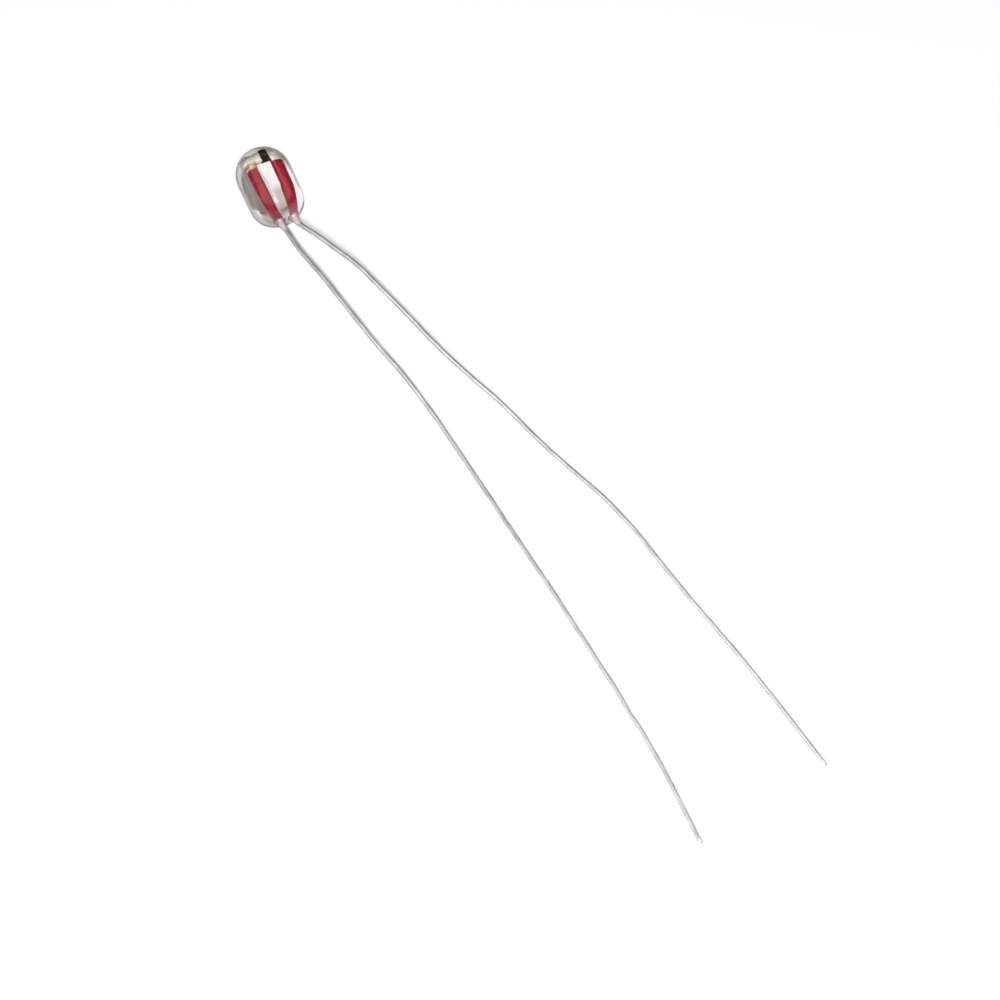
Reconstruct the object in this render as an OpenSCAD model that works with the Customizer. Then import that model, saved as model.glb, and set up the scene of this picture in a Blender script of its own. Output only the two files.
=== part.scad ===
// Glass-sealed bead thermistor with two bare wire leads on one end.
// The bead lies on its side, with its axis along X. The leads leave it towards +X and
// come down to the surface that it lies on. The origin is on the bead's axis, at the
// middle of its straight barrel. Left is -Y and right is +Y, as seen from above with the
// leads towards the viewer. All sizes are in millimetres.

/* [Glass bead] */
// Diameter of the bead's straight barrel
glass_d = 2.3; // [2.1:0.05:2.8]
// Length of the straight barrel between the two rounded ends
barrel_l = 1.4; // [1.3:0.05:2]
// Corner radius of the end that the leads leave by
exit_corner_r = 0.95; // [0.8:0.05:1]
// Height of the glass collar that climbs each lead where it leaves the bead
collar_l = 0.4; // [0.3:0.05:0.5]

/* [Chip] */
// Side of the square ceramic chip
chip_side = 0.35; // [0.33:0.01:0.45]
// Thickness of the chip between its two electrodes
chip_t = 0.21; // [0.18:0.01:0.28]
// Distance of the chip's centre from the tip of the closed end
chip_depth = 0.7; // [0.65:0.05:0.8]
// Distance of the chip's centre from the bead's axis, towards the right lead
chip_offset = 0.185; // [0.1:0.005:0.22]
// Angle by which the chip sits askew on the leads, in degrees
chip_turn = 4; // [-8:1:4]
// Thickness of the silver fired onto each side of the chip
electrode_t = 0.02; // [0.01:0.005:0.03]

/* [Paste joints] */
// Radius of the drop of conductive paste round the end of each wire
joint_r = 0.19; // [0.19:0.01:0.22]
// Radius of the neck of paste between the left drop and its electrode
neck_r = 0.15; // [0.12:0.01:0.16]

/* [Leads] */
// Diameter of the bare wire
lead_d = 0.2; // [0.15:0.01:0.22]
// Reach of the longer lead past the glass, along X
lead_l = 31.5; // [20:0.5:40]
// Thickness of the red oxide skin on the stretch that is sealed into the glass
skin_t = 0.06; // [0.03:0.005:0.06]

/* [Hidden] */
LEFT = 0;
RIGHT = 1;
$fn = 64;

glass_r = glass_d / 2;
exit_x = barrel_l / 2 + exit_corner_r;
closed_x = -barrel_l / 2 - glass_r;

// The collar is a bell with a hollow side: a circle of this radius is cut from its profile.
collar_wall = 0.03;
collar_tip_r = lead_d / 2 + collar_wall;
collar_hollow_r = 0.9;
collar_root = 0.3;
collar_root_r = 0.5;

chip_x = closed_x + chip_depth;
// How far each wire's cut end lies past the middle of its paste drop
wire_overrun = 0.1;

lead_r = lead_d / 2;
// How far the left and the right wire lie clear of the chip's electrodes, and so how far
// each wire's middle lies from the chip's middle
wire_clear = [0.205, 0.022];
wire_reach = [for (gap = wire_clear) chip_t / 2 + electrode_t + lead_r + gap];

// Each skin starts in the paste, but past the chip on the wire that lies close to it, and
// ends just short of the first bend.
skin_r = lead_r + skin_t;
skin_edge_share = 0.85;
skin_edge_r = skin_t * skin_edge_share;
skin_start_left = 0.06;
skin_chip_gap = 0.03;
skin_start = [skin_start_left, chip_side / 2 + skin_chip_gap];
skin_end_gap = 0.17;

// The bent stretch of a lead is swept with flat sides that just clear the round wire, so
// each of its ends takes the round wire in.
sweep_sides = 12;
sweep_ease = 1.01;
sweep_flat_r = lead_r * sweep_ease;
sweep_r = sweep_flat_r / cos(180 / sweep_sides);
sweep_start = 0.16;
overlap = 0.04;

// Each bend is rounded over this reach, or over a share of the run beside it if that is less.
bend_reach = 0.8;
bend_share = 0.4;
bend_steps = 4;

// From the bead's axis down to the middle of a lead that lies on the surface
lead_drop = glass_r - sweep_flat_r;

// The bends of each lead: distance past the glass, distance to the side, and the share of
// the drop down to the surface. The first is in the root of its collar, the second is the
// collar's tip, and the last is its cut end. They are for a reach of 31.5 mm and a collar
// of 0.4 mm.
route_l = 31.5;
route_collar_l = 0.4;
left_bends = [
    [0.12, -0.2, 0], [0.4, -0.15, 0], [1.35, -0.03, 0], [2.95, 0.4, 0.05],
    [6.1, 1.15, 0.33], [8.2, 1.8, 0.57], [10.25, 2.25, 0.8], [13.75, 2.8, 1],
    [18.95, 3.5, 1], [24.45, 4.15, 1], [25.4, 4.2, 1], [25.95, 4.3, 1],
    [28, 4.45, 1], [31.5, 4.5, 1]
];
right_bends = [
    [0.12, 0.4, 0], [0.4, 0.47, 0], [1.2, 0.95, 0], [3.1, 1.95, 0.08],
    [4.2, 2.35, 0.18], [7.95, 3.7, 0.6], [10.8, 5, 0.9], [13, 5.75, 1],
    [14.85, 6.5, 1], [16, 7, 1], [17.65, 7.5, 1], [21.4, 8.3, 1],
    [24.35, 9.05, 1], [27.15, 9.65, 1], [30.25, 10.25, 1]
];

// A lead of another reach has its bends in proportion, apart from the two at its collar,
// and the collar's tip follows the height of the collar.
function at_bend(b, scale) = [exit_x + b[0] * scale, b[1] * scale, -b[2] * lead_drop];
function collar_tip(b) =
    b[0] + (b[1] - b[0]) * (collar_l - b[0][0]) / (route_collar_l - b[0][0]);
function bends(side) =
    let (b = side == LEFT ? left_bends : right_bends, scale = lead_l / route_l)
    concat(
        [at_bend(b[0], 1), at_bend(collar_tip(b), 1)],
        [for (i = [2 : len(b) - 1]) at_bend(b[i], scale)]
    );

// The middle of each paste drop, which the straight wire starts from
function chip_normal(side) = (side == LEFT ? -1 : 1) * [-sin(chip_turn), cos(chip_turn), 0];
function drop_pos(side) = [chip_x, chip_offset, 0] + chip_normal(side) * wire_reach[side];

function unit(v) = v / norm(v);
function sealed_run(side) = bends(side)[0] - drop_pos(side);
function sealed_l(side) = norm(sealed_run(side));

// The rounded path of the bent stretch: it starts in the sealed straight wire, and ends
// where the last bend has run out.
function reach(p, i) =
    min(bend_reach, bend_share * norm(p[i] - p[i - 1]), bend_share * norm(p[i + 1] - p[i]));
function bend_points(p, i) =
    let (
        a = p[i] + unit(p[i - 1] - p[i]) * reach(p, i),
        b = p[i] + unit(p[i + 1] - p[i]) * reach(p, i)
    )
    [for (k = [0 : bend_steps]) let (t = k / bend_steps)
        a * (1 - t) * (1 - t) + p[i] * 2 * t * (1 - t) + b * t * t];
function bent_path(side) =
    let (
        b = bends(side),
        start = b[0] - unit(sealed_run(side)) * sweep_start,
        p = concat([start - unit(sealed_run(side))], b)
    )
    concat([start], [for (i = [1 : len(p) - 2]) each bend_points(p, i)], [tip_joint(side)]);

// The straight tip: a round wire from here to the last point
function tip_run(side) = let (b = bends(side), n = len(b)) b[n - 1] - b[n - 2];
function tip_joint(side) =
    let (b = bends(side), n = len(b), p = concat([b[0]], b))
    b[n - 2] + unit(tip_run(side)) * (reach(p, n - 1) + overlap);
function tip_l(side) = let (b = bends(side)) norm(b[len(b) - 1] - tip_joint(side));

// Puts a shape that stands on Z at a point, along a direction that has no rise.
module along(point, direction) {
    translate(point)
        rotate([0, 0, atan2(direction[1], direction[0])])
            rotate([0, 90, 0])
                children();
}

// A ring of points square to the path, with a flat side underneath
function ring(point, direction) =
    let (s = unit(cross([0, 0, 1], direction)), u = cross(direction, s))
    [for (k = [0 : sweep_sides - 1]) let (a = (k + 0.5) * 360 / sweep_sides)
        point + (s * cos(a) + u * sin(a)) * sweep_r];

module swept_wire(path) {
    n = len(path);
    rings = [for (i = [0 : n - 1])
        ring(path[i], unit(path[min(i + 1, n - 1)] - path[max(i - 1, 0)]))];
    sides = [for (i = [0 : n - 2], k = [0 : sweep_sides - 1])
        let (j = (k + 1) % sweep_sides, a = i * sweep_sides, b = a + sweep_sides)
        each [[a + k, b + k, a + j], [a + j, b + k, b + j]]];
    start_cap = [for (k = [0 : sweep_sides - 1]) k];
    end_cap = [for (k = [sweep_sides - 1 : -1 : 0]) (n - 1) * sweep_sides + k];
    polyhedron([for (r = rings) each r], concat(sides, [start_cap, end_cap]));
}

// The straight wire that the bead seals in
module sealed_wire(side) {
    along(drop_pos(side) - unit(sealed_run(side)) * wire_overrun, sealed_run(side))
        cylinder(r = lead_r, h = sealed_l(side) + wire_overrun - sweep_start + overlap);
}

// The lead as far as the glass holds it: the sweep stops at the first point past the collar.
module held_lead(side) {
    path = bent_path(side);
    sealed_wire(side);
    swept_wire([for (i = [0 : 2 * bend_steps + 3]) path[i]]);
}

module whole_lead(side) {
    sealed_wire(side);
    swept_wire(bent_path(side));
    along(tip_joint(side) - unit(tip_run(side)) * overlap, tip_run(side))
        cylinder(r = lead_r, h = tip_l(side) + overlap);
}

// Profile of an oxide skin, from the given inner radius, with its outer edges rounded
module skin_profile(inner_r, l) {
    c = skin_edge_r;
    translate([inner_r, 0]) square([skin_r - c - inner_r, l]);
    translate([inner_r, c]) square([skin_r - inner_r, l - 2 * c]);
    for (y = [c, l - c])
        intersection() {
            translate([skin_r - c, y]) circle(r = c);
            translate([inner_r, 0]) square([skin_r, l]);
        }
}

module skin(side, inner_r) {
    along(drop_pos(side) + unit(sealed_run(side)) * skin_start[side], sealed_run(side))
        rotate_extrude()
            skin_profile(inner_r, sealed_l(side) - skin_start[side] - skin_end_gap);
}

// Turns a shape that stands on Z to leave the chip's middle by the left or right face.
module from_chip(side) {
    along([chip_x, chip_offset, 0], chip_normal(side)) children();
}

// Profile of a paste joint: a drop round the wire, and on the left a neck back to the chip.
// The right wire lies so close to the chip that its drop needs no neck.
module joint_profile(side, start) {
    l = wire_reach[side];
    intersection() {
        union() {
            translate([0, l]) circle(r = joint_r);
            if (side == LEFT) square([neck_r, l]);
        }
        translate([0, start]) square([joint_r * 2, l + joint_r * 2]);
    }
}

module joint_shape(side, start) {
    from_chip(side) rotate_extrude() joint_profile(side, start);
}

// A slab of the chip's face size that starts the given distance from the chip's middle
module chip_slab(side, start, t) {
    from_chip(side)
        translate([-chip_side / 2, -chip_side / 2, start])
            cube([chip_side, chip_side, t]);
}

module chip_with_electrodes() {
    chip_slab(RIGHT, -chip_t / 2 - electrode_t, chip_t + 2 * electrode_t);
}

// The outside of the bead: a barrel with one round end and one flatter end
module bead_profile() {
    translate([0, -barrel_l / 2]) square([glass_r, barrel_l]);
    intersection() {
        translate([0, -barrel_l / 2]) circle(r = glass_r);
        translate([0, closed_x]) square([glass_r, glass_r]);
    }
    intersection() {
        translate([glass_r - exit_corner_r, barrel_l / 2]) circle(r = exit_corner_r);
        translate([0, barrel_l / 2]) square([glass_r, exit_corner_r]);
    }
    translate([0, barrel_l / 2]) square([glass_r - exit_corner_r, exit_corner_r]);
}

// Profile of a collar whose tip is at the origin
module collar_profile() {
    difference() {
        translate([0, -collar_l - collar_root]) square([collar_root_r, collar_l + collar_root]);
        translate([collar_tip_r + collar_hollow_r, 0]) circle(r = collar_hollow_r);
    }
}

module glass_outside() {
    rotate([0, 90, 0]) rotate_extrude() bead_profile();
    for (side = [LEFT, RIGHT])
        along(bends(side)[1], bends(side)[1] - bends(side)[0])
            rotate_extrude() collar_profile();
}

// The glass is one solid that has flowed onto everything inside it.
module glass_body() {
    color([0.86, 0.84, 0.86, 0.4])
        difference() {
            glass_outside();
            chip_with_electrodes();
            for (side = [LEFT, RIGHT]) {
                joint_shape(side, 0);
                skin(side, 0);
                held_lead(side);
            }
        }
}

module thermistor_chip() {
    color([0.1, 0.06, 0.05]) chip_slab(RIGHT, -chip_t / 2, chip_t);
}

module electrode(side) {
    color([0.8, 0.79, 0.74]) chip_slab(side, chip_t / 2, electrode_t);
}

module joint(side) {
    color([0.87, 0.83, 0.7])
        difference() {
            joint_shape(side, chip_t / 2 + electrode_t);
            sealed_wire(side);
            skin(side, 0);
        }
}

module oxide_skin(side) {
    color([0.72, 0.13, 0.2]) skin(side, lead_r);
}

module lead(side) {
    color([0.6, 0.6, 0.6]) whole_lead(side);
}

glass_body();
thermistor_chip();
electrode(LEFT);  // electrode_left
electrode(RIGHT);  // electrode_right
joint(LEFT);  // joint_left
joint(RIGHT);  // joint_right
oxide_skin(LEFT);  // oxide_skin_left
oxide_skin(RIGHT);  // oxide_skin_right
lead(LEFT);  // lead_left
lead(RIGHT);  // lead_right
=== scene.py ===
import math

import bmesh
import bpy
import numpy as np
from mathutils import Matrix, Vector, noise
from mathutils.geometry import delaunay_2d_cdt


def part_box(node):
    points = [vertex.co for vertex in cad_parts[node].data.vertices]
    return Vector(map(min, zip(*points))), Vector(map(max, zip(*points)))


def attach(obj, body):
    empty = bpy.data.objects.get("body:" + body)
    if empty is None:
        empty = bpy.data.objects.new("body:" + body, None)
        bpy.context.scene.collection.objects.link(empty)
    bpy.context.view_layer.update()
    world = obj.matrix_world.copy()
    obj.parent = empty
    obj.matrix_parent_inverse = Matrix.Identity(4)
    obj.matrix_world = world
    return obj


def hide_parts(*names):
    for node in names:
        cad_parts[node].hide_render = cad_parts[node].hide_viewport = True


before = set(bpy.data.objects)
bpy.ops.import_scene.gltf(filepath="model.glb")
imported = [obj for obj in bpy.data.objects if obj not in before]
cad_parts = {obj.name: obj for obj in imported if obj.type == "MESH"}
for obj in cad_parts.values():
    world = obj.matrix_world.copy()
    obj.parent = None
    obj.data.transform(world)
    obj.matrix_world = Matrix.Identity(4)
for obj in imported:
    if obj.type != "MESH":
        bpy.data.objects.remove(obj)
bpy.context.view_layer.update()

# The camera looks down on the bead from its exit end, through a long lens, so that the
# leads run away to the lower right of the picture. Its place follows from its two angles,
# the scale at the bead and the bead's place in the picture.
MM = 0.001
PICTURE_SIDE = 1000
LENS = 250
SENSOR = 36
CLIP_START = 0.01
CLIP_END = 10
AZIMUTH = math.radians(67.5)
ELEVATION = math.radians(60)
PIXELS_PER_MM = 25
BEAD_AT = (270.1, 188)

camera_right = Vector((math.cos(AZIMUTH), math.sin(AZIMUTH), 0))
camera_back = Vector((
    math.sin(AZIMUTH) * math.cos(ELEVATION),
    -math.cos(AZIMUTH) * math.cos(ELEVATION),
    math.sin(ELEVATION),
))
camera_up = camera_back.cross(camera_right)
camera_distance = PICTURE_SIDE * LENS / SENSOR / PIXELS_PER_MM

lens_data = bpy.data.cameras.new("camera")
lens_data.lens = LENS
lens_data.sensor_width = SENSOR
lens_data.clip_start = CLIP_START
lens_data.clip_end = CLIP_END
camera = bpy.data.objects.new("camera", lens_data)
bpy.context.scene.collection.objects.link(camera)
camera.location = MM * (
    camera_back * camera_distance
    + camera_right * (PICTURE_SIDE / 2 - BEAD_AT[0]) / PIXELS_PER_MM
    + camera_up * (BEAD_AT[1] - PICTURE_SIDE / 2) / PIXELS_PER_MM
)
camera.rotation_euler = (math.pi / 2 - ELEVATION, 0, AZIMUTH)
bpy.context.scene.camera = camera
bpy.context.scene.view_settings.view_transform = "Standard"

# The thermistor chip: a block of dark metal-oxide ceramic, pressed and sintered as a wafer
# and diced with a saw. Its cut edges are chipped, and it sits askew between the wires.
CHIP_SIZE = (0.35, 0.21, 0.35)
CHIP_TURN = math.radians(4)
CHIP_EDGE = 0.012
CHIP_GRID = 0.014
EDGE_STEPS = 3
CHIP_WEAR = 0.022
CHIP_WEAR_REACH = 0.04
FACE_WEAR_SHARE = 0.35
FLAKE_SCALE = 13
CRUMB_SCALE = 41
CRUMB_SHARE = 0.45
WHOLE_BELOW = 0.05
BITE_SLOPE = 2.4
CERAMIC_TONES = (
    (0.3, (0.006, 0.003, 0.002)),
    (0.55, (0.014, 0.008, 0.006)),
    (0.75, (0.05, 0.032, 0.025)),
)
CERAMIC_RUST = (0.03, 0.013, 0.008, 1)
MIX_FACTOR, MIX_A, MIX_B, MIX_RESULT = 0, 6, 7, 2


def stations(half, edge, spacing):
    """Places of the grid lines along one side of a block: even on the flat, and closer
    together round both edges."""
    flat = half - edge
    count = max(1, round(2 * flat / spacing))
    on_flat = [flat * (2 * k / count - 1) for k in range(count + 1)]
    on_edge = [flat + edge * k / EDGE_STEPS for k in range(1, EDGE_STEPS + 1)]
    return [-x for x in reversed(on_edge)] + on_flat + on_edge


def rounded_block(size, edge, spacing):
    """Points and faces of a block round the origin, with its edges rounded. A key counts the
    grid lines on each axis, so that the faces share their corners."""
    lines = [stations(s / 2, edge, spacing) for s in size]
    flats = [s / 2 - edge for s in size]
    index, points, faces = {}, [], []

    def corner(key):
        if key not in index:
            index[key] = len(points)
            at = Vector(line[k] for line, k in zip(lines, key))
            core = Vector(max(-f, min(f, x)) for x, f in zip(at, flats))
            points.append(core + (at - core).normalized() * edge)
        return index[key]

    for axis in range(3):
        a, b = (axis + 1) % 3, (axis + 2) % 3
        for end in (0, len(lines[axis]) - 1):
            for i in range(len(lines[a]) - 1):
                for j in range(len(lines[b]) - 1):
                    keys = []
                    for di, dj in ((0, 0), (1, 0), (1, 1), (0, 1)):
                        key = [0, 0, 0]
                        key[axis], key[a], key[b] = end, i + di, j + dj
                        keys.append(tuple(key))
                    faces.append([corner(k) for k in (keys if end else reversed(keys))])
    return points, faces


def turned(point, angle):
    """A point turned about Z."""
    c, s = math.cos(angle), math.sin(angle)
    return Vector((point[0] * c - point[1] * s, point[0] * s + point[1] * c, point[2]))


def add_piece(name, points, faces, material):
    """A smooth piece from points in mm."""
    bm = bmesh.new()
    made = [bm.verts.new(p) for p in points]
    for face in faces:
        bm.faces.new([made[k] for k in face]).smooth = True
    bmesh.ops.recalc_face_normals(bm, faces=bm.faces)
    bmesh.ops.scale(bm, vec=(MM, MM, MM), verts=bm.verts)
    mesh = bpy.data.meshes.new(name)
    bm.to_mesh(mesh)
    bm.free()
    mesh.materials.append(material)
    piece = bpy.data.objects.new(name, mesh)
    bpy.context.scene.collection.objects.link(piece)
    return piece


def new_material(name, **constants):
    """A material, its node tree and its shader, with the shader's constant sockets set."""
    material = bpy.data.materials.new(name)
    material.use_nodes = True
    tree = material.node_tree
    shader = tree.nodes["Principled BSDF"]
    for socket, value in constants.items():
        shader.inputs[socket.replace("_", " ")].default_value = value
    return material, tree, shader


def add_node(tree, kind, inputs=None, **settings):
    """A shader node: inputs holds a value or another node's output for each socket."""
    made = tree.nodes.new("ShaderNode" + kind)
    for name, value in settings.items():
        setattr(made, name, value)
    for socket, value in (inputs or {}).items():
        if isinstance(value, bpy.types.NodeSocket):
            tree.links.new(value, made.inputs[socket])
        else:
            made.inputs[socket].default_value = value
    return made


def place(tree):
    """Where a point lies on the object, in metres."""
    return add_node(tree, "TexCoord").outputs["Object"]


def grain(tree, where, size, detail=4, roughness=0.6):
    """Noise with features of the given size in mm."""
    inputs = {"Vector": where, "Scale": 1 / (size * MM), "Detail": detail, "Roughness": roughness}
    return add_node(tree, "TexNoise", inputs).outputs["Fac"]


def ramp(tree, factor, *stops):
    """Colours, or single values, at the given places along a factor."""
    made = add_node(tree, "ValToRGB", {"Fac": factor})
    elements = made.color_ramp.elements
    while len(elements) < len(stops):
        elements.new(0.5)
    for element, (at, tone) in zip(elements, stops):
        element.position = at
        element.color = (*tone, 1) if hasattr(tone, "__len__") else (tone, tone, tone, 1)
    return made.outputs["Color"]


def mixed(tree, factor, a, b, blend="MIX"):
    """Two colours mixed by a factor. The node's sockets are given by number, because those
    for numbers, vectors and colours share their names."""
    inputs = {MIX_FACTOR: factor, MIX_A: a, MIX_B: b}
    made = add_node(tree, "Mix", inputs, data_type="RGBA", blend_type=blend)
    return made.outputs[MIX_RESULT]


def bump(tree, shader, height, depth):
    """Gives a shader bumps of the given depth in mm."""
    made = add_node(tree, "Bump", {"Height": height, "Distance": depth * MM})
    tree.links.new(made.outputs["Normal"], shader.inputs["Normal"])


ceramic, tree, shader = new_material("sintered_ceramic", Specular_IOR_Level=0.1)
where = place(tree)
grains = grain(tree, where, size=0.02, detail=6)
patches = grain(tree, where, size=0.16, detail=3)
rusty = ramp(tree, patches, (0.4, 0), (0.7, 0.5))
colour = mixed(tree, rusty, ramp(tree, grains, *CERAMIC_TONES), CERAMIC_RUST)
tree.links.new(colour, shader.inputs["Base Color"])
tree.links.new(ramp(tree, patches, (0.3, 0.5), (0.7, 0.8)), shader.inputs["Roughness"])
bump(tree, shader, grains, depth=0.004)

low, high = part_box("thermistor_chip")
chip_middle = (low + high) / 2 / MM
points, faces = rounded_block(CHIP_SIZE, CHIP_EDGE, CHIP_GRID)
for k, point in enumerate(points):
    clear = sorted(s / 2 - abs(x) for x, s in zip(point, CHIP_SIZE))
    near_edge = max(0, 1 - clear[1] / CHIP_WEAR_REACH)
    broken = noise.noise(point * FLAKE_SCALE) + CRUMB_SHARE * noise.noise(point * CRUMB_SCALE)
    bite = max(0, broken - WHOLE_BELOW)
    inward = Vector((point[0], FACE_WEAR_SHARE * point[1], point[2])).normalized()
    point -= inward * CHIP_WEAR * near_edge * min(1, BITE_SLOPE * bite)
    points[k] = chip_middle + turned(point, CHIP_TURN)
chip = add_piece("chip", points, faces, ceramic)
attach(chip, "root")
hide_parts("thermistor_chip")

# The electrodes: silver paste printed on both faces of the wafer and fired, so each is a
# thin uneven metal skin over one face of the chip, a little torn at the saw cut.
ELECTRODE_T = 0.02
ELECTRODE_SIDE = 0.344
ELECTRODE_SIZE = (ELECTRODE_SIDE, ELECTRODE_T, ELECTRODE_SIDE)
ELECTRODE_EDGE = 0.007
ELECTRODE_WAVE = 0.003
ELECTRODE_TEAR = 0.02
WAVE_SCALE = 17
TEAR_SCALE = 29
SILVER_TONES = (
    (0.35, (0.74, 0.72, 0.67)),
    (0.55, (0.62, 0.59, 0.52)),
    (0.75, (0.36, 0.32, 0.26)),
)


def swell(at):
    """Smooth noise from 0 to 1."""
    return 0.5 + 0.5 * noise.noise(at)


silver, tree, shader = new_material("fired_silver", Metallic=0.85)
where = place(tree)
fine = grain(tree, where, size=0.015, detail=5)
tarnish = grain(tree, where, size=0.09, detail=4)
tree.links.new(ramp(tree, tarnish, *SILVER_TONES), shader.inputs["Base Color"])
tree.links.new(ramp(tree, fine, (0.3, 0.35), (0.7, 0.6)), shader.inputs["Roughness"])
bump(tree, shader, fine, depth=0.002)

chip_normals = {
    "left": turned((0, -1, 0), CHIP_TURN),
    "right": turned((0, 1, 0), CHIP_TURN),
}
for side, normal in chip_normals.items():
    points, faces = rounded_block(ELECTRODE_SIZE, ELECTRODE_EDGE, CHIP_GRID)
    centre = chip_middle + normal * (CHIP_SIZE[1] + ELECTRODE_T) / 2
    for k, point in enumerate(points):
        wave = ELECTRODE_WAVE * swell(point * WAVE_SCALE + normal)
        kept = 1 - ELECTRODE_TEAR * abs(noise.noise(point * TEAR_SCALE - normal))
        outward = point[1] if side == "right" else -point[1]
        point = Vector((point[0] * kept, point[1], point[2] * kept))
        if outward > 0:
            point[1] -= math.copysign(wave, point[1])
        points[k] = centre + turned(point, CHIP_TURN)
    electrode = add_piece("electrode_" + side + "_silver", points, faces, silver)
    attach(electrode, "root")
    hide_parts("electrode_" + side)

# The leads: drawn wire of a nickel-iron core in copper, dull grey where it is bare. Each is
# one piece, bent by hand from its paste joint through the glass to a sheared end, and shows
# draw lines, tarnish, and brighter metal towards the end.
EXIT_X = 1.65
LEAD_R = 0.1
LEAD_DROP = 1.049
LEAD_SIDES = 20
LEAD_STEP = 0.1
WIRE_OVERRUN = 0.1
WIRE_REACH = {"left": 0.43, "right": 0.247}
BEND_REACH = 0.8
BEND_SHARE = 0.4
BEND_STEPS = 12
LEAD_BENDS = {
    "left": (
        (0.12, -0.2, 0), (0.4, -0.15, 0), (1.35, -0.03, 0), (2.95, 0.4, 0.05),
        (6.1, 1.15, 0.33), (8.2, 1.8, 0.57), (10.25, 2.25, 0.8), (13.75, 2.8, 1),
        (18.95, 3.5, 1), (24.45, 4.15, 1), (25.4, 4.2, 1), (25.95, 4.3, 1),
        (28, 4.45, 1), (31.5, 4.5, 1),
    ),
    "right": (
        (0.12, 0.4, 0), (0.4, 0.47, 0), (1.2, 0.95, 0), (3.1, 1.95, 0.08),
        (4.2, 2.35, 0.18), (7.95, 3.7, 0.6), (10.8, 5, 0.9), (13, 5.75, 1),
        (14.85, 6.5, 1), (16, 7, 1), (17.65, 7.5, 1), (21.4, 8.3, 1),
        (24.35, 9.05, 1), (27.15, 9.65, 1), (30.25, 10.25, 1),
    ),
}
WOBBLE = 0.02
WOBBLE_LIFT = 0.5
WOBBLE_START = 0.5
WOBBLE_RAMP = 1.5
WOBBLE_PLACE = {"left": 3.1, "right": 11.7}
SWAY_PER_MM, SWAY_ROW = 0.55, 0
QUIVER_PER_MM, QUIVER_ROW, QUIVER_SHARE = 2.1, 5, 0.4
LIFT_PER_MM, LIFT_ROW = 0.7, 9
CUT_REACH = 0.16
CUT_BEVEL = 0.05
CUT_NARROWING = 0.1
CUT_FLATTENING = 0.45
WIRE_DULL = (
    (0.3, (0.45, 0.445, 0.44)),
    (0.5, (0.63, 0.625, 0.62)),
    (0.7, (0.78, 0.775, 0.77)),
)
WIRE_BRIGHT = (
    (0.3, (0.77, 0.765, 0.76)),
    (0.5, (0.91, 0.905, 0.9)),
    (0.7, (0.98, 0.975, 0.97)),
)
WIRE_BRIGHTENS = (6, 26)
COLLAR_SPAN = (2.7, 3.7)
COLLAR_COPPER_AND_HIGHLIGHT = (0.74, 0.64, 0.63, 1)
DRAW_LINES_SHARE = 0.55
WIRE_SPECK_SHARE = 0.4

# For each side, in mm: the middle of the paste drop, the bends of the wire, and the straight
# run from the drop to the first bend.
drops, bends, sealed = {}, {}, {}
for side in LEAD_BENDS:
    drops[side] = chip_middle + chip_normals[side] * WIRE_REACH[side]
    bends[side] = [Vector((EXIT_X + x, y, -z * LEAD_DROP)) for x, y, z in LEAD_BENDS[side]]
    sealed[side] = bends[side][0] - drops[side]


def smooth_step(x):
    """From 0 at 0 to 1 at 1, without corners."""
    x = max(0, min(1, x))
    return x * x * (3 - 2 * x)


def rounded_path(corners):
    """A line through the corners, with each bend rounded."""
    path = [corners[0]]
    for before, corner, after in zip(corners, corners[1:], corners[2:]):
        shorter = min((corner - before).length, (after - corner).length)
        reach = min(BEND_REACH, BEND_SHARE * shorter)
        a = corner + (before - corner).normalized() * reach
        b = corner + (after - corner).normalized() * reach
        for k in range(BEND_STEPS + 1):
            t = k / BEND_STEPS
            path.append(a * (1 - t) ** 2 + corner * 2 * t * (1 - t) + b * t * t)
    return path + [corners[-1]]


def even_points(path, step):
    """Points an even distance apart along a line, and each one's distance from its start."""
    lengths = [0]
    for a, b in zip(path, path[1:]):
        lengths.append(lengths[-1] + (b - a).length)
    count = round(lengths[-1] / step)
    distances = [lengths[-1] * k / count for k in range(count + 1)]
    found, k = [], 0
    for d in distances:
        while k < len(path) - 2 and lengths[k + 1] < d:
            k += 1
        share = (d - lengths[k]) / (lengths[k + 1] - lengths[k])
        found.append(path[k].lerp(path[k + 1], share))
    return found, distances


def angle_of(j, sides):
    """The angle of one point of a ring."""
    return 2 * math.pi * j / sides


def swept_tube(path, distances, sides, outline):
    """Points, faces and texture places of a closed tube. outline gives a point of the ring
    at a distance and angle: along the path, across it and up."""
    points, faces, uvs = [], [], []
    last = len(path) - 1
    for k, (at, d) in enumerate(zip(path, distances)):
        ahead = (path[min(k + 1, last)] - path[max(k - 1, 0)]).normalized()
        across = Vector((0, 0, 1)).cross(ahead).normalized()
        up = ahead.cross(across)
        for j in range(sides):
            x, y, z = outline(d, angle_of(j, sides))
            points.append(at + ahead * x + across * y + up * z)
    for k in range(last):
        for j in range(sides):
            a, b = k * sides + j, k * sides + (j + 1) % sides
            faces.append((a, b, b + sides, a + sides))
            u, v = j / sides, distances[k]
            du, dv = 1 / sides, distances[k + 1] - distances[k]
            uvs.append(((u, v), (u + du, v), (u + du, v + dv), (u, v + dv)))
    for k, at in ((0, path[0]), (last, path[-1])):
        points.append(at)
        for j in range(sides):
            a, b = k * sides + j, k * sides + (j + 1) % sides
            faces.append((a, b, len(points) - 1))
            uvs.append(((j / sides, distances[k]),) * 3)
    return points, faces, uvs


def set_uvs(piece, uvs):
    """Gives a piece its texture places: turns round the wire, and mm along it."""
    layer = piece.data.uv_layers.new(name="along_wire")
    for polygon, corners in zip(piece.data.polygons, uvs):
        for loop, uv in zip(polygon.loop_indices, corners):
            layer.data[loop].uv = uv


def worked_out(tree, operation, *values):
    """The result of one Math node."""
    return add_node(tree, "Math", dict(enumerate(values)), operation=operation).outputs[0]


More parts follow.
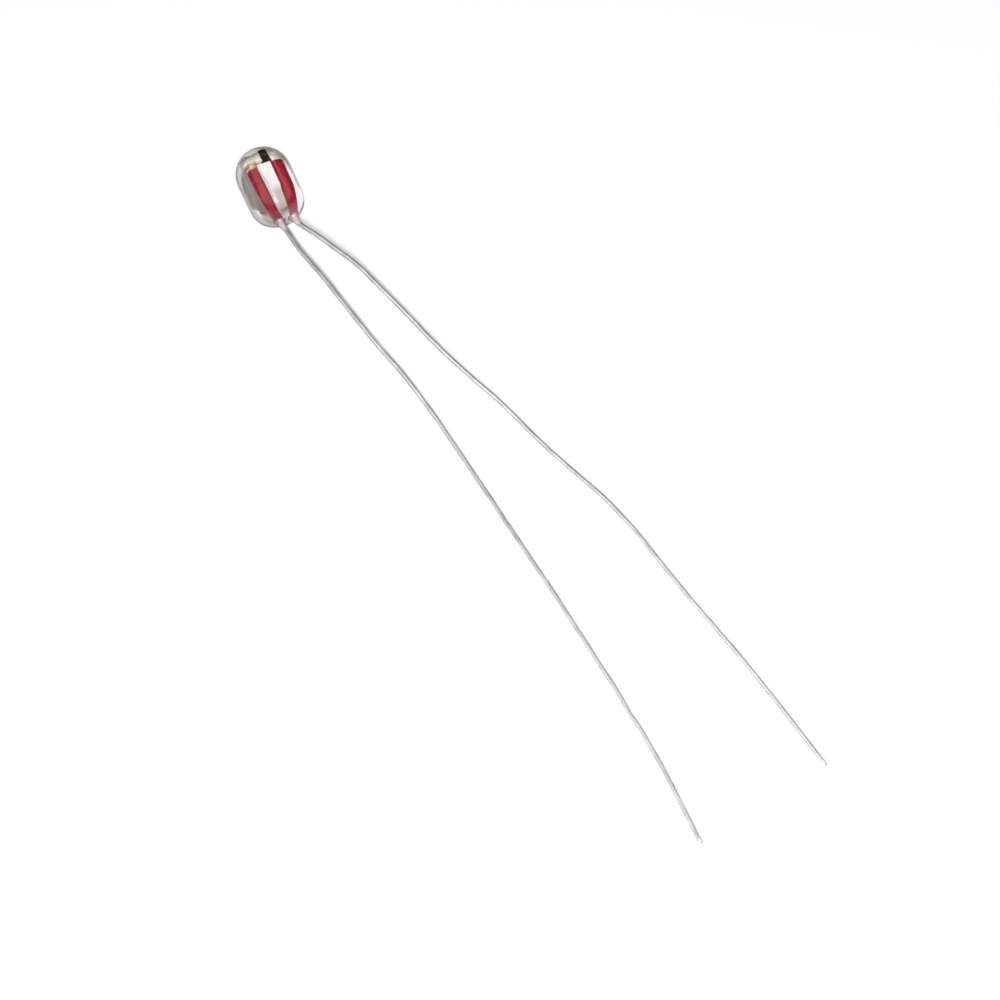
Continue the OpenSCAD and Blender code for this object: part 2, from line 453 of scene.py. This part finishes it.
def wire_places(tree):
    """The texture places of a tube: X goes round it and Y along it, in mm."""
    uv = add_node(tree, "UVMap").outputs["UV"]
    return add_node(tree, "SeparateXYZ", {"Vector": uv}).outputs


def streaks(tree, round_scale, along_scale, detail=4):
    """Noise drawn out along a wire: the scales are features a turn and features a mm."""
    parts = wire_places(tree)
    turn = worked_out(tree, "MULTIPLY", parts["X"], 2 * math.pi)
    ring = {
        "X": worked_out(tree, "COSINE", turn),
        "Y": worked_out(tree, "SINE", turn),
        "Z": worked_out(tree, "MULTIPLY", parts["Y"], along_scale / round_scale),
    }
    at = add_node(tree, "CombineXYZ", ring).outputs["Vector"]
    inputs = {"Vector": at, "Scale": round_scale, "Detail": detail}
    return add_node(tree, "TexNoise", inputs).outputs["Fac"]


def along_wire(tree, start, end):
    """0 to 1 between two distances along a wire."""
    inputs = {"Value": wire_places(tree)["Y"], "From Min": start, "From Max": end}
    return add_node(tree, "MapRange", inputs).outputs["Result"]


wire_metal, tree, shader = new_material("drawn_wire")
where = place(tree)
lines = streaks(tree, round_scale=5, along_scale=1.2)
patches = grain(tree, where, size=0.9, detail=5, roughness=0.65)
specks = grain(tree, where, size=0.05, detail=3)
brightening = along_wire(tree, *WIRE_BRIGHTENS)
dull, bright = ramp(tree, patches, *WIRE_DULL), ramp(tree, patches, *WIRE_BRIGHT)
colour = mixed(tree, brightening, dull, bright)
# Inside the collars the wire is pale pink: partly the bare copper of its cladding, partly a
# painted highlight that stands for the shine of the glass collar round it.
in_collar = ramp(tree, along_wire(tree, *COLLAR_SPAN), (0.1, 0), (0.2, 1), (0.55, 1), (0.7, 0))
colour = mixed(tree, in_collar, colour, COLLAR_COPPER_AND_HIGHLIGHT)
draw_lines = ramp(tree, lines, (0.3, 0.45), (0.5, 1), (0.7, 1.3))
colour = mixed(tree, DRAW_LINES_SHARE, colour, draw_lines, "MULTIPLY")
tree.links.new(colour, shader.inputs["Base Color"])
tree.links.new(ramp(tree, in_collar, (0, 1), (1, 0.3)), shader.inputs["Metallic"])
tree.links.new(ramp(tree, lines, (0.3, 0.44), (0.7, 0.56)), shader.inputs["Roughness"])
bump(tree, shader, mixed(tree, WIRE_SPECK_SHARE, lines, specks), depth=0.006)


def lead_outline(length):
    """The ring of a lead: round, and pinched flat and bevelled where it was sheared off."""
    def ring(d, angle):
        pinch = 1 - smooth_step((length - d) / CUT_REACH)
        bevel = CUT_BEVEL * abs(math.sin(angle)) if length - d < LEAD_STEP / 2 else 0
        y = LEAD_R * math.cos(angle) * (1 - CUT_NARROWING * pinch)
        z = LEAD_R * math.sin(angle) * (1 - CUT_FLATTENING * pinch)
        return -bevel, y, z
    return ring


for side in bends:
    start = drops[side] - sealed[side].normalized() * WIRE_OVERRUN
    path, distances = even_points(rounded_path([start, *bends[side]]), LEAD_STEP)
    row = WOBBLE_PLACE[side]
    for k, (at, d) in enumerate(zip(path, distances)):
        past_collar = smooth_step((at[0] - EXIT_X - WOBBLE_START) / WOBBLE_RAMP)
        free = past_collar * smooth_step((distances[-1] - d) / WOBBLE_RAMP)
        quiver = QUIVER_SHARE * noise.noise((d * QUIVER_PER_MM, row, QUIVER_ROW))
        sway = noise.noise((d * SWAY_PER_MM, row, SWAY_ROW)) + quiver
        lift = WOBBLE_LIFT * max(0, noise.noise((d * LIFT_PER_MM, row, LIFT_ROW)))
        path[k] = at + Vector((0, sway, lift)) * WOBBLE * free
    points, faces, uvs = swept_tube(path, distances, LEAD_SIDES, lead_outline(distances[-1]))
    lead = add_piece("wire_" + side, points, faces, wire_metal)
    set_uvs(lead, uvs)
    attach(lead, "root")
    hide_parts("lead_" + side)

# The oxide skins: copper oxide grown on the wire in the flame where the glass seals to it.
# It is cherry red under the glass, mottled and streaked, and paler where it thins out.
SKIN_R = 0.16
SKIN_END_R = LEAD_R * 0.98
SKIN_START = {"left": 0.06, "right": 0.205}
SKIN_END_GAP = 0.17
SKIN_END_ROUND = 0.05
SKIN_STEP = 0.02
SKIN_SIDES = 32
DIP_DEPTH = 0.009
DIPS_ROUND = 2
DIPS_PER_MM = 3
DIPS_PLACE = {"left": 0, "right": 40}
RED_TONES = (
    (0.3, (0.17, 0.003, 0.008)),
    (0.45, (0.31, 0.009, 0.022)),
    (0.6, (0.42, 0.019, 0.038)),
    (0.75, (0.52, 0.06, 0.085)),
)
RED_ROSE = (0.52, 0.05, 0.09, 1)
RED_MAUVE = (0.5, 0.3, 0.33, 1)
RED_SPECK = (0.08, 0.012, 0.01, 1)
FADE_LENGTH = {"left": 0.5, "right": 0.7}
FADED_RED = {"left": (0.2, 0.009, 0.02, 1), "right": (0.34, 0.1, 0.14, 1)}
MAUVE_LENGTH = 0.14
MAUVE_RAMP = 0.12
SKIN_SPECK_SHARE = 0.5


def red_oxide(side, length):
    """Red oxide that fades to its side's colour near the far end, and thins out to mauve
    over the last of it."""
    material, tree, shader = new_material("red_oxide_" + side, Specular_IOR_Level=0.1)
    where = place(tree)
    lines = streaks(tree, round_scale=2.2, along_scale=1.6, detail=5)
    patches = grain(tree, where, size=0.35, detail=4)
    specks = grain(tree, where, size=0.03, detail=3)
    fade_start, fade_end = length - FADE_LENGTH[side], length - MAUVE_LENGTH
    rosy = ramp(tree, patches, (0.45, 0), (0.75, 0.6))
    speckled = ramp(tree, specks, (0.62, 0), (0.74, 0.7))
    colour = mixed(tree, rosy, ramp(tree, lines, *RED_TONES), RED_ROSE)
    colour = mixed(tree, along_wire(tree, fade_start, fade_end), colour, FADED_RED[side])
    colour = mixed(tree, along_wire(tree, fade_end, fade_end + MAUVE_RAMP), colour, RED_MAUVE)
    colour = mixed(tree, speckled, colour, RED_SPECK)
    tree.links.new(colour, shader.inputs["Base Color"])
    tree.links.new(ramp(tree, patches, (0.3, 0.3), (0.7, 0.5)), shader.inputs["Roughness"])
    bump(tree, shader, mixed(tree, SKIN_SPECK_SHARE, lines, specks), depth=0.004)
    return material


def skin_outline(side, length):
    """The ring of a skin: it closes onto the wire at both ends, and is nowhere thicker than
    its node."""
    def ring(d, angle):
        end = max(0, min(1, d / SKIN_END_ROUND, (length - d) / SKIN_END_ROUND))
        full = SKIN_END_R + (SKIN_R - SKIN_END_R) * math.sqrt(1 - (1 - end) ** 2)
        y, z = math.cos(angle), math.sin(angle)
        dips = swell((DIPS_ROUND * y, DIPS_ROUND * z, DIPS_PER_MM * d + DIPS_PLACE[side]))
        r = full - DIP_DEPTH * dips
        return 0, r * y, r * z
    return ring


for side in sealed:
    length = sealed[side].length - SKIN_START[side] - SKIN_END_GAP
    along = sealed[side].normalized()
    start = drops[side] + along * SKIN_START[side]
    path, distances = even_points([start, start + along * length], SKIN_STEP)
    points, faces, uvs = swept_tube(path, distances, SKIN_SIDES, skin_outline(side, length))
    skin = add_piece("oxide_" + side, points, faces, red_oxide(side, length))
    set_uvs(skin, uvs)
    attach(skin, "root")
    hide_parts("oxide_skin_" + side)

# The joints: conductive silver paste, put round the end of each wire as a drop that wets the
# electrode, then baked. It is cream and granular, and stained brown where it meets the oxide.
# Its side away from the wire is painted a darker grey, as shade.
JOINT_R = 0.19
JOINT_DETAIL = 6
NECK_R = {"left": 0.165, "right": 0.12}
FACE_DISTANCE = CHIP_SIZE[1] / 2 + ELECTRODE_T
SLEEVE_START = JOINT_R * 0.8
SLEEVE_END = JOINT_R + 0.12
FILLET_T = 0.03
FILLET_LENGTH = 0.1
MELD = 0.05
FARTHEST_PASTE = 0.8
HALVINGS = 24
LUMP_HEIGHT = 0.05
LUMP_SCALE = 2.6
LUMP_PLACE = 9
GRIT_HEIGHT = 0.022
GRIT_SCALE = 9
HEEL = {"left": 0.22, "right": 0.1}
STAIN_AND_SHADE_SHARE = {"left": 1.12, "right": 0.68}
# Grey for painted shade on the side away from the wire, then cream, then brown stain towards the
# oxide.
PASTE_STAIN_AND_SHADE_TONES = (
    (0.12, (0.46, 0.45, 0.4)),
    (0.42, (0.78, 0.71, 0.62)),
    (0.66, (0.8, 0.69, 0.57)),
    (0.78, (0.5, 0.27, 0.19)),
    (0.95, (0.36, 0.13, 0.09)),
)
PASTE_CREAM = (0.95, 0.87, 0.72, 1)
PASTE_GRIT = (0.5, 0.44, 0.34, 1)


def meld(a, b, reach):
    """The union of two solids given as distances, run together over the given reach."""
    h = np.clip(0.5 + 0.5 * (b - a) / reach, 0, 1)
    return b * (1 - h) + a * h - reach * h * (1 - h)


def paste_distance(p, side):
    """Distance of points to the outside of a joint, below 0 inside it: a ball round the end
    of the wire, a neck to the chip and a sleeve on the wire."""
    normal, along = np.array(chip_normals[side]), np.array(sealed[side].normalized())
    from_drop = p - np.array(drops[side])
    to_chip = -(from_drop @ normal)
    off_axis = np.linalg.norm(from_drop + np.outer(to_chip, normal), axis=1)
    on_wire = from_drop @ along
    off_wire = np.linalg.norm(from_drop - np.outer(on_wire, along), axis=1)
    ball = np.linalg.norm(from_drop, axis=1) - JOINT_R
    neck = np.maximum(off_axis - NECK_R[side], -to_chip)
    fillet = FILLET_T * np.exp(-np.maximum(on_wire - SLEEVE_START, 0) / FILLET_LENGTH)
    sleeve = np.maximum(off_wire - SKIN_R - fillet, np.maximum(-on_wire, on_wire - SLEEVE_END))
    solid = meld(meld(ball, neck, MELD), sleeve, MELD)
    beyond = FACE_DISTANCE - (p - np.array(chip_middle)) @ normal
    return np.maximum(solid, beyond)


def paste_reach(directions, side):
    """How far a joint reaches from the end of its wire in each direction, found by halving."""
    near, far = np.zeros(len(directions)), np.full(len(directions), FARTHEST_PASTE)
    for _ in range(HALVINGS):
        half = (near + far) / 2
        outside = paste_distance(np.array(drops[side]) + directions * half[:, None], side) > 0
        near, far = np.where(outside, near, half), np.where(outside, half, far)
    return near


paste, tree, shader = new_material("silver_paste", Metallic=0.05, Specular_IOR_Level=0.15)
where = place(tree)
grains = grain(tree, where, size=0.022, detail=5, roughness=0.7)
patches = grain(tree, where, size=0.14, detail=4)
# The attribute is low away from the wire, where the paste is painted grey as shade, and high at
# the wire, where it is stained brown.
stain_and_shade = add_node(tree, "Attribute", attribute_name="towards_wire").outputs["Fac"]
creamy = ramp(tree, patches, (0.42, 0), (0.62, 0.6))
gritty = ramp(tree, grains, (0.33, 0.4), (0.5, 0))
colour = mixed(tree, creamy, ramp(tree, stain_and_shade, *PASTE_STAIN_AND_SHADE_TONES), PASTE_CREAM)
colour = mixed(tree, gritty, colour, PASTE_GRIT)
tree.links.new(colour, shader.inputs["Base Color"])
tree.links.new(ramp(tree, grains, (0.3, 0.45), (0.7, 0.75)), shader.inputs["Roughness"])
bump(tree, shader, grains, depth=0.006)

for side in bends:
    ball = bmesh.new()
    bmesh.ops.create_icosphere(ball, subdivisions=JOINT_DETAIL, radius=1)
    directions = [v.co.normalized() for v in ball.verts]
    faces = [[v.index for v in f.verts] for f in ball.faces]
    ball.free()
    wire_way = sealed[side].normalized()
    heel_way = (chip_normals[side] - wire_way).normalized()
    points, stains_and_shade = [], []
    for way, reach in zip(directions, paste_reach(np.array(directions), side)):
        lumps = LUMP_HEIGHT * noise.noise(way * LUMP_SCALE + drops[side] * LUMP_PLACE)
        lumps += GRIT_HEIGHT * noise.noise(way * GRIT_SCALE)
        lumps += HEEL[side] * max(0, way.dot(heel_way)) ** 2
        at = drops[side] + way * reach * (1 + lumps)
        clear = (at - chip_middle).dot(chip_normals[side]) - FACE_DISTANCE
        points.append(at - chip_normals[side] * min(0, clear))
        towards_wire = way.dot(wire_way) * min(1, reach / JOINT_R)
        stains_and_shade.append(STAIN_AND_SHADE_SHARE[side] * (0.5 + 0.5 * towards_wire))
    joint = add_piece("paste_" + side, points, faces, paste)
    layer = joint.data.attributes.new("towards_wire", "FLOAT", "POINT")
    layer.data.foreach_set("value", stains_and_shade)
    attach(joint, "root")
    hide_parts("joint_" + side)

# The glass bead: a glass tube slipped over the chip and melted down in a furnace, so it is
# one clear solid that has wetted the chip, the paste and the wires. It closed to a dome at
# one end, and at the other it stopped in a meniscus that climbs each wire as a collar.
GLASS_R = 1.15
BARREL_HALF = 0.7
EXIT_CORNER_R = 0.95
ARC_STEPS = 60
PROFILE_STEP = 0.02
PROFILE_SMOOTHING = 90
GLASS_SIDES = 192
CAP_R = 0.8
CAP_FILL = 0.045
TRIANGLE_HEIGHT = 0.866
CAP_ROW = CAP_FILL * TRIANGLE_HEIGHT
CAP_RIM_GAP = 0.6 * CAP_FILL
CAP_COLLAR_GAP = 0.4 * CAP_FILL
CAP_MERGE = 1e-7
COLLAR_FOOT = 0.29
COLLAR_RINGS = 24
COLLAR_SIDES = 64
COLLAR_MELTS_FROM = 0.62
COLLAR_PROFILE = (
    (0, 0), (0.05, 0), (0.095, 0.001), (0.114, 0.01), (0.125, 0.032), (0.131, 0.08),
    (0.138, 0.15), (0.149, 0.215), (0.168, 0.28), (0.2, 0.34), (0.245, 0.38), (0.29, 0.4),
)
DENT_DEPTH = 0.008
DENT_SCALE = 0.9
DENT_PLACE = Vector((4, 1, 7))
LEAN = 0.05
LEAN_START, LEAN_RAMP = 0.2, 1.3
HELD_START, HELD_RAMP = 0.2, 0.35
EXIT_END_X = 1
CLEAR_TONES = ((0.3, (0.985, 0.975, 0.97)), (0.7, (0.96, 0.945, 0.94)))
# Painted shade at the rim: the glass goes from clear face-on to near black at grazing, standing
# for the dark room seen at its edges.
RIM_PAINTED_SHADE_TONES = (
    (0.34, (1, 1, 1)),
    (0.42, (0.44, 0.435, 0.43)),
    (0.56, (0.35, 0.35, 0.34)),
    (0.66, (0.12, 0.125, 0.12)),
    (0.85, (0.02, 0.02, 0.02)),
)
FROSTED = (0.95, 1.5)

# Painted shade and painted light on the glass: darker and clearer zones that stand for the
# room and the sealed end as the bead bends them into view. For each zone: how strong it is,
# and the places in mm between which it comes in along each axis.
DOME_RIM_PAINTED_SHADE = (0.1, ("X", -0.3, -0.8), ("Y", -0.1, 0.5))
FLANK_RIM_PAINTED_LIGHT = (0.3, ("X", -0.5, 0.1), ("Y", 0.2, 0.9))
EXIT_PAINTED_SHADE = (0.35, ("X", 0.7, 1.05), ("Y", 0.4, -0.1), ("X", 1.9, 1.75))
FLANK_PAINTED_SHADE = (0.22, ("Y", -0.5, -0.8), ("X", 0.4, -0.1))
OLIVE_PAINTED_SHADE = (
    0.9, ("Y", -0.26, -0.08), ("Y", 0.36, 0.2), ("X", 0.55, 0.95), ("X", 1.65, 1.55),
    ("Z", 0, 0.3),
)
# The greys of the painted shade at the exit end, on the flank and in the olive streak.
EXIT_SHADE_GREY = (0.2, 0.19, 0.18, 1)
FLANK_SHADE_GREY = (0.2, 0.19, 0.19, 1)
OLIVE_SHADE_TONE = (0.32, 0.25, 0.22, 1)


def quarter_turn():
    """Angles evenly along a quarter of a turn."""
    return [math.pi / 2 * k / ARC_STEPS for k in range(ARC_STEPS + 1)]


def bead_profile():
    """The bead's outside from the middle of its exit end to the tip of its dome, as x and r.
    The melted glass has no sudden change of curve, so the arcs and the barrel run together."""
    flat = GLASS_R - EXIT_CORNER_R
    corners = [Vector((EXIT_X, 0, 0))]
    for a in quarter_turn():
        x = BARREL_HALF + EXIT_CORNER_R * math.cos(a)
        corners.append(Vector((x, flat + EXIT_CORNER_R * math.sin(a), 0)))
    for a in quarter_turn():
        corners.append(Vector((-BARREL_HALF - GLASS_R * math.sin(a), GLASS_R * math.cos(a), 0)))
    line, _ = even_points(corners, PROFILE_STEP)
    at = np.array([(p[0], p[1]) for p in line])
    for _ in range(PROFILE_SMOOTHING):
        before = np.vstack([at[1] * (1, -1), at[:-1]])
        after = np.vstack([at[1:], at[-2] * (1, -1)])
        at = 0.5 * at + 0.25 * (before + after)
    return at


profile = bead_profile()
exit_side = profile[: int(np.argmax(profile[:, 1] > CAP_R)) + 1]
rim_x, rim_r = (float(value) for value in exit_side[-1])


def exit_face(y, z):
    """The point of the bead's exit end over a place on it."""
    r = math.hypot(y, z)
    return Vector((float(np.interp(r, exit_side[:, 1], exit_side[:, 0])), y, z))


def melted(at):
    """A point of the bead's outside, with the slight lean and unevenness of melted glass.
    Close to a wire the wire holds it in place."""
    held = 1
    if at[0] > EXIT_END_X:
        off_wire = min(math.hypot(at[1] - b[0][1], at[2]) for b in bends.values())
        held = smooth_step((off_wire - HELD_START) / HELD_RAMP)
    dents = swell(at * DENT_SCALE + DENT_PLACE)
    lean = LEAN * smooth_step((at[0] - LEAN_START) / LEAN_RAMP) * (1 - abs(at[1]) / GLASS_R)
    return at * (1 - DENT_DEPTH * dents * held) + Vector((0, lean * held, 0))


def collar_point(side, share, angle):
    """A point of a collar: share is 0 at the middle of its tip and 1 at its foot. The profile
    is radii, and depths below the tip."""
    line = COLLAR_PROFILE
    place_on = share * (len(line) - 1)
    k = min(int(place_on), len(line) - 2)
    t = place_on - k
    r = line[k][0] * (1 - t) + line[k + 1][0] * t
    depth = line[k][1] * (1 - t) + line[k + 1][1] * t
    root, tip = bends[side][0], bends[side][1]
    axis = (tip - root).normalized()
    up = Vector((0, 0, 1))
    across = up.cross(axis)
    on_collar = tip - axis * depth + across * r * math.cos(angle) + up * r * math.sin(angle)
    reach = share * COLLAR_FOOT
    foot = melted(exit_face(root[1] + reach * math.cos(angle), reach * math.sin(angle)))
    blend = smooth_step((share - COLLAR_MELTS_FROM) / (1 - COLLAR_MELTS_FROM))
    return on_collar.lerp(foot, blend)


def glass_ring(x, r):
    """A ring of points on the bead's outside."""
    angles = [angle_of(j, GLASS_SIDES) for j in range(GLASS_SIDES)]
    return [melted(Vector((x, r * math.cos(a), r * math.sin(a)))) for a in angles]


# The exit end is meshed flat, as y and z, and then each place takes its point in space:
# first both collars from tip to foot, then the face round them, and its rim.
flat_places, points = [], []
for side in bends:
    y = bends[side][0][1]
    flat_places.append((y, 0))
    points.append(collar_point(side, 0, 0))
    for k in range(1, COLLAR_RINGS + 1):
        share = k / COLLAR_RINGS
        reach = share * COLLAR_FOOT
        for j in range(COLLAR_SIDES):
            angle = angle_of(j, COLLAR_SIDES)
            flat_places.append((y + reach * math.cos(angle), reach * math.sin(angle)))
            points.append(collar_point(side, share, angle))
rows = int(rim_r / CAP_ROW) + 1
for i in range(-rows, rows + 1):
    for j in range(-rows, rows + 1):
        y, z = CAP_FILL * (j + 0.5 * (i % 2)), CAP_ROW * i
        clear = min(math.hypot(y - b[0][1], z) for b in bends.values())
        if math.hypot(y, z) < rim_r - CAP_RIM_GAP and clear > COLLAR_FOOT + CAP_COLLAR_GAP:
            flat_places.append((y, z))
            points.append(melted(exit_face(y, z)))
ring_start = len(points)
for j in range(GLASS_SIDES):
    angle = angle_of(j, GLASS_SIDES)
    flat_places.append((rim_r * math.cos(angle), rim_r * math.sin(angle)))
points += glass_ring(rim_x, rim_r)
found = delaunay_2d_cdt([Vector(p) for p in flat_places], [], [], 0, CAP_MERGE)
places_back = [sources[0] for sources in found[3]]
faces = [[places_back[k] for k in face] for face in found[2]]

for x, r in profile[len(exit_side):-1]:
    next_start = len(points)
    points += glass_ring(float(x), r)
    for j in range(GLASS_SIDES):
        k = (j + 1) % GLASS_SIDES
        faces.append((ring_start + j, ring_start + k, next_start + k, next_start + j))
    ring_start = next_start
points.append(melted(Vector((float(profile[-1][0]), 0, 0))))
for j in range(GLASS_SIDES):
    faces.append((ring_start + j, ring_start + (j + 1) % GLASS_SIDES, len(points) - 1))

glass, tree, shader = new_material("bead_glass", Transmission_Weight=1, IOR=1.5)
where = place(tree)
smudges = grain(tree, where, size=0.7, detail=3)
ripples = grain(tree, where, size=0.5, detail=2)
grazing = add_node(tree, "LayerWeight", {"Blend": 0.5}).outputs["Facing"]
parts = add_node(tree, "SeparateXYZ", {"Vector": where}).outputs


def between(axis, start, end):
    """0 to 1 between two places along an axis of the bead, in mm."""
    inputs = {"Value": parts[axis], "From Min": start * MM, "From Max": end * MM}
    return add_node(tree, "MapRange", inputs).outputs["Result"]


def zone(strength, *edges):
    """A factor that is the given strength inside all the edges, and 0 outside them."""
    inside = between(*edges[0])
    for edge in edges[1:]:
        inside = worked_out(tree, "MULTIPLY", inside, between(*edge))
    return worked_out(tree, "MULTIPLY", inside, strength)


# Painted shade: the rim darkening by grazing angle, made wider on the dome and narrower on the
# clear flank by the painted zones.
depth = worked_out(tree, "ADD", grazing, zone(*DOME_RIM_PAINTED_SHADE))
depth = worked_out(tree, "SUBTRACT", depth, zone(*FLANK_RIM_PAINTED_LIGHT))
tint_and_painted_shade = ramp(tree, smudges, *CLEAR_TONES)
# Painted shade: the exit end, one flank and a streak by the right wire are greyed over the
# glass's own tint.
tint_and_painted_shade = mixed(tree, zone(*EXIT_PAINTED_SHADE), tint_and_painted_shade, EXIT_SHADE_GREY)
tint_and_painted_shade = mixed(tree, zone(*FLANK_PAINTED_SHADE), tint_and_painted_shade, FLANK_SHADE_GREY)
tint_and_painted_shade = mixed(tree, zone(*OLIVE_PAINTED_SHADE), tint_and_painted_shade, OLIVE_SHADE_TONE)
colour = mixed(tree, 1.0, tint_and_painted_shade, ramp(tree, depth, *RIM_PAINTED_SHADE_TONES), "MULTIPLY")
tree.links.new(colour, shader.inputs["Base Color"])
polished = ramp(tree, smudges, (0.45, 0.01), (0.75, 0.04))
frosted = ramp(tree, smudges, (0.3, 0.12), (0.7, 0.3))
roughness = mixed(tree, between("X", *FROSTED), polished, frosted)
tree.links.new(roughness, shader.inputs["Roughness"])
bump(tree, shader, ripples, depth=0.006)

bead = add_piece("glass_bead", points, faces, glass)
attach(bead, "root")
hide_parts("glass_body")
bead.visible_shadow = bead.visible_diffuse = False

# The floor: a plain sheet of matt white card that the bead and the leads lie on. It shows
# as white straight on, in reflections and through the glass, and keeps the shadows.
FLOOR_HALF = 400
FLOOR_Z = -1.1505
FLOOR_WHITE = (0.93, 0.93, 0.93, 1)
WHITE = (1, 1, 1, 1)
FLOOR_LIFT = 0.13


def square(half):
    """The corners of a square round the origin, as x and y."""
    return [(-half, -half), (half, -half), (half, half), (-half, half)]


def seen_ray(tree):
    """1 for the rays that show the background: straight, reflected or through glass, and not
    the ones that light a matt surface."""
    path = add_node(tree, "LightPath").outputs
    shown = worked_out(tree, "MAXIMUM", path["Is Camera Ray"], path["Is Glossy Ray"])
    shown = worked_out(tree, "MAXIMUM", shown, path["Is Transmission Ray"])
    unscattered = worked_out(tree, "LESS_THAN", path["Diffuse Depth"], 0.5)
    return worked_out(tree, "MULTIPLY", shown, unscattered)


card, tree, shader = new_material(
    "white_card", Base_Color=FLOOR_WHITE, Emission_Color=WHITE,
    Roughness=0.9, Specular_IOR_Level=0,
)
lift = worked_out(tree, "MULTIPLY", seen_ray(tree), FLOOR_LIFT)
tree.links.new(lift, shader.inputs["Emission Strength"])
corners = [(x, y, FLOOR_Z) for x, y in square(FLOOR_HALF)]
floor = add_piece("floor", corners, [(0, 1, 2, 3)], card)

# The flags: black cloth that stands in a ring round the part, and a square of it overhead.
# They show only in reflections, where they give the glass and the wires darker edges.
FLAG_BLACK = (0.03, 0.03, 0.03, 1)
FLAG_R = 150
FLAG_HEIGHT = 85
FLAG_SIDES = 32
ROOF_HALF = 90
ROOF_DISTANCE = 160
ROOF_WAY = (-0.46, 0.12, 0.88)

dark, _, _ = new_material("dark_flag", Base_Color=FLAG_BLACK, Roughness=0.9)
points, faces = [], []
for z in (FLOOR_Z, FLOOR_Z + FLAG_HEIGHT):
    for k in range(FLAG_SIDES):
        angle = angle_of(k, FLAG_SIDES)
        points.append((FLAG_R * math.cos(angle), FLAG_R * math.sin(angle), z))
for k in range(FLAG_SIDES):
    after = (k + 1) % FLAG_SIDES
    faces.append((k, after, FLAG_SIDES + after, FLAG_SIDES + k))
flags = add_piece("dark_flags", points, faces, dark)
roof_turn = Vector(ROOF_WAY).to_track_quat("Z", "Y")
points = [roof_turn @ Vector((x, y, ROOF_DISTANCE)) for x, y in square(ROOF_HALF)]
roof = add_piece("dark_roof", points, [(0, 1, 2, 3)], dark)
for flag in (flags, roof):
    flag.visible_camera = flag.visible_diffuse = False
    flag.visible_shadow = flag.visible_transmission = False

# The light: soft white from all round, and one long soft lamp. The lamp's power makes white
# card square to it render as white, whatever its distance.
WORLD_LIGHT = 0.18
LAMP_LENGTH = 130
LAMP_WIDTH = 14
LAMP_DISTANCE = 300
LAMP_WAY = (0.55, -0.21, 0.83)

world = bpy.data.worlds.new("studio")
bpy.context.scene.world = world
world.use_nodes = True
tree = world.node_tree
tree.nodes.clear()
soft = add_node(tree, "Background", {"Color": WHITE, "Strength": WORLD_LIGHT})
white = add_node(tree, "Background", {"Color": WHITE, "Strength": 1})
shown = add_node(tree, "MixShader", {0: seen_ray(tree), 1: soft.outputs[0], 2: white.outputs[0]})
add_node(tree, "OutputWorld", {"Surface": shown.outputs[0]})

lamp_data = bpy.data.lights.new("lamp", "AREA")
lamp_data.shape = "RECTANGLE"
lamp_data.size = LAMP_LENGTH * MM
lamp_data.size_y = LAMP_WIDTH * MM
lamp_data.energy = math.pi ** 2 * (LAMP_DISTANCE * MM) ** 2
lamp = bpy.data.objects.new("lamp", lamp_data)
bpy.context.scene.collection.objects.link(lamp)
lamp_way = Vector(LAMP_WAY).normalized()
across = lamp_way.cross((1, 0, 0)).normalized()
lamp.location = lamp_way * LAMP_DISTANCE * MM
lamp.rotation_euler = Matrix((across.cross(lamp_way), across, lamp_way)).transposed().to_euler()
